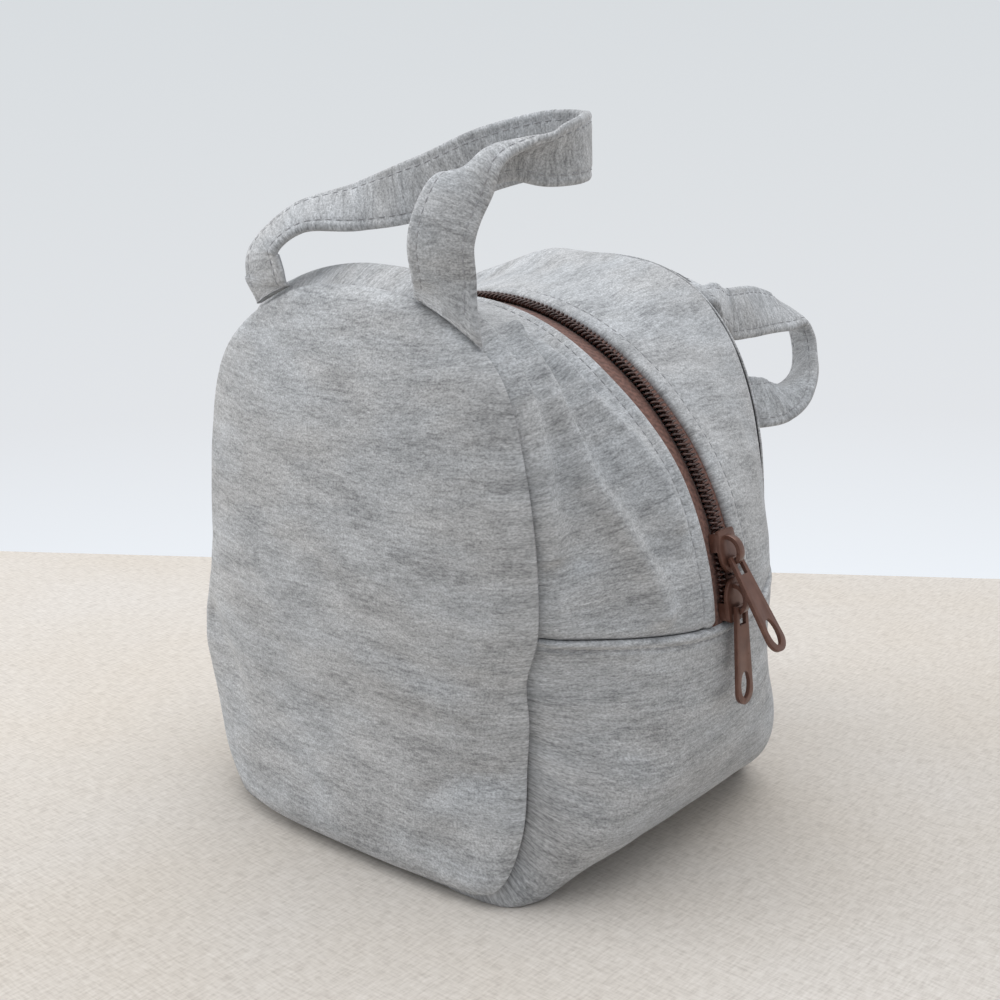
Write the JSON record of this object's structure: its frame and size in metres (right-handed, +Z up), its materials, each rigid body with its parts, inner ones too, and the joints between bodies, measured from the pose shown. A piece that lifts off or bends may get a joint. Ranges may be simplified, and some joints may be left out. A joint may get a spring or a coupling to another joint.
{
  "type": "lunch bag",
  "caption": "Soft padded lunch bag with an arched zip mouth, paired zip sliders with pulls, and a fabric strap handle on each half.",
  "frame": {"origin": "middle of the base, on the surface that the bag stands on", "axes": "+Z up, -Y out of the front face panel, +X towards the end of the zip where the sliders are parked"},
  "size_m": [0.1982, 0.1949, 0.2161],
  "materials": {
    "jersey": "heathered sweatshirt jersey",
    "lining": "foam with a wipe-clean skin",
    "zip_tape": "woven tape",
    "zip_coil": "nylon coil",
    "painted_metal": "satin paint"
  },
  "bodies": {
    "bag": {"lower_gusset": "jersey", "front_panel_lower": "jersey", "back_panel_lower": "jersey", "front_zip_gusset_right_end": "jersey", "front_zip_gusset_left_end": "jersey", "back_zip_gusset_right_end": "jersey", "back_zip_gusset_left_end": "jersey", "lower_gusset_lining": "lining", "front_panel_lower_lining": "lining", "back_panel_lower_lining": "lining", "front_zip_gusset_right_end_lining": "lining", "front_zip_gusset_left_end_lining": "lining", "back_zip_gusset_right_end_lining": "lining", "back_zip_gusset_left_end_lining": "lining", "front_zip_tape_right_end": "zip_tape", "front_zip_tape_left_end": "zip_tape", "back_zip_tape_right_end": "zip_tape", "back_zip_tape_left_end": "zip_tape", "front_coil_right_end": "zip_coil", "front_coil_left_end": "zip_coil", "back_coil_right_end": "zip_coil", "back_coil_left_end": "zip_coil"},
    "front_half": {"front_panel_upper": "jersey", "front_panel_upper_lining": "lining", "front_zip_gusset_arch": "jersey", "front_zip_gusset_arch_lining": "lining", "front_zip_tape_arch": "zip_tape", "front_coil_arch": "zip_coil"},
    "back_half": {"back_panel_upper": "jersey", "back_panel_upper_lining": "lining", "back_zip_gusset_arch": "jersey", "back_zip_gusset_arch_lining": "lining", "back_zip_tape_arch": "zip_tape", "back_coil_arch": "zip_coil"},
    "upper_slider": {"upper_slider": "painted_metal"},
    "lower_slider": {"lower_slider": "painted_metal"},
    "upper_pull": {"upper_pull": "painted_metal"},
    "lower_pull": {"lower_pull": "painted_metal"},
    "front_handle": {"front_handle": "jersey"},
    "back_handle": {"back_handle": "jersey"}
  },
  "joints": [
    {"name": "front_mouth", "type": "hinge", "parent": "bag", "child": "front_half", "pos_m": [0, -0.0738, 0.081], "axis": [1, 0, 0], "range_deg": [0, 28]},
    {"name": "back_mouth", "type": "hinge", "parent": "bag", "child": "back_half", "pos_m": [0, 0.0738, 0.081], "axis": [-1, 0, 0], "range_deg": [0, 28]},
    {"name": "upper_slider_travel", "type": "hinge", "parent": "bag", "child": "upper_slider", "pos_m": [0, 0, 0.071], "axis": [0, -1, 0], "range_deg": [0, 155], "deforming": ["front_coil_arch", "front_coil_right_end", "front_coil_left_end", "back_coil_arch", "back_coil_right_end", "back_coil_left_end"]},
    {"name": "lower_slider_travel", "type": "hinge", "parent": "bag", "child": "lower_slider", "pos_m": [0, 0, 0.071], "axis": [0, -1, 0], "range_deg": [0, 0.4]},
    {"name": "upper_pull_swing", "type": "hinge", "parent": "upper_slider", "child": "upper_pull", "pos_m": [0.09102, 0, 0.09314], "axis": [0, -1, 0], "range_deg": [0, 110]},
    {"name": "lower_pull_swing", "type": "hinge", "parent": "lower_slider", "child": "lower_pull", "pos_m": [0.09333, 0, 0.07908], "axis": [0, -1, 0], "range_deg": [0, 35]},
    {"name": "front_handle_swing", "type": "hinge", "parent": "front_half", "child": "front_handle", "pos_m": [0, -0.0582, 0.1575], "axis": [1, 0, 0], "range_deg": [0, 75]},
    {"name": "back_handle_swing", "type": "hinge", "parent": "back_half", "child": "back_handle", "pos_m": [0, 0.0582, 0.168], "axis": [1, 0, 0], "range_deg": [0, 105]}
  ]
}
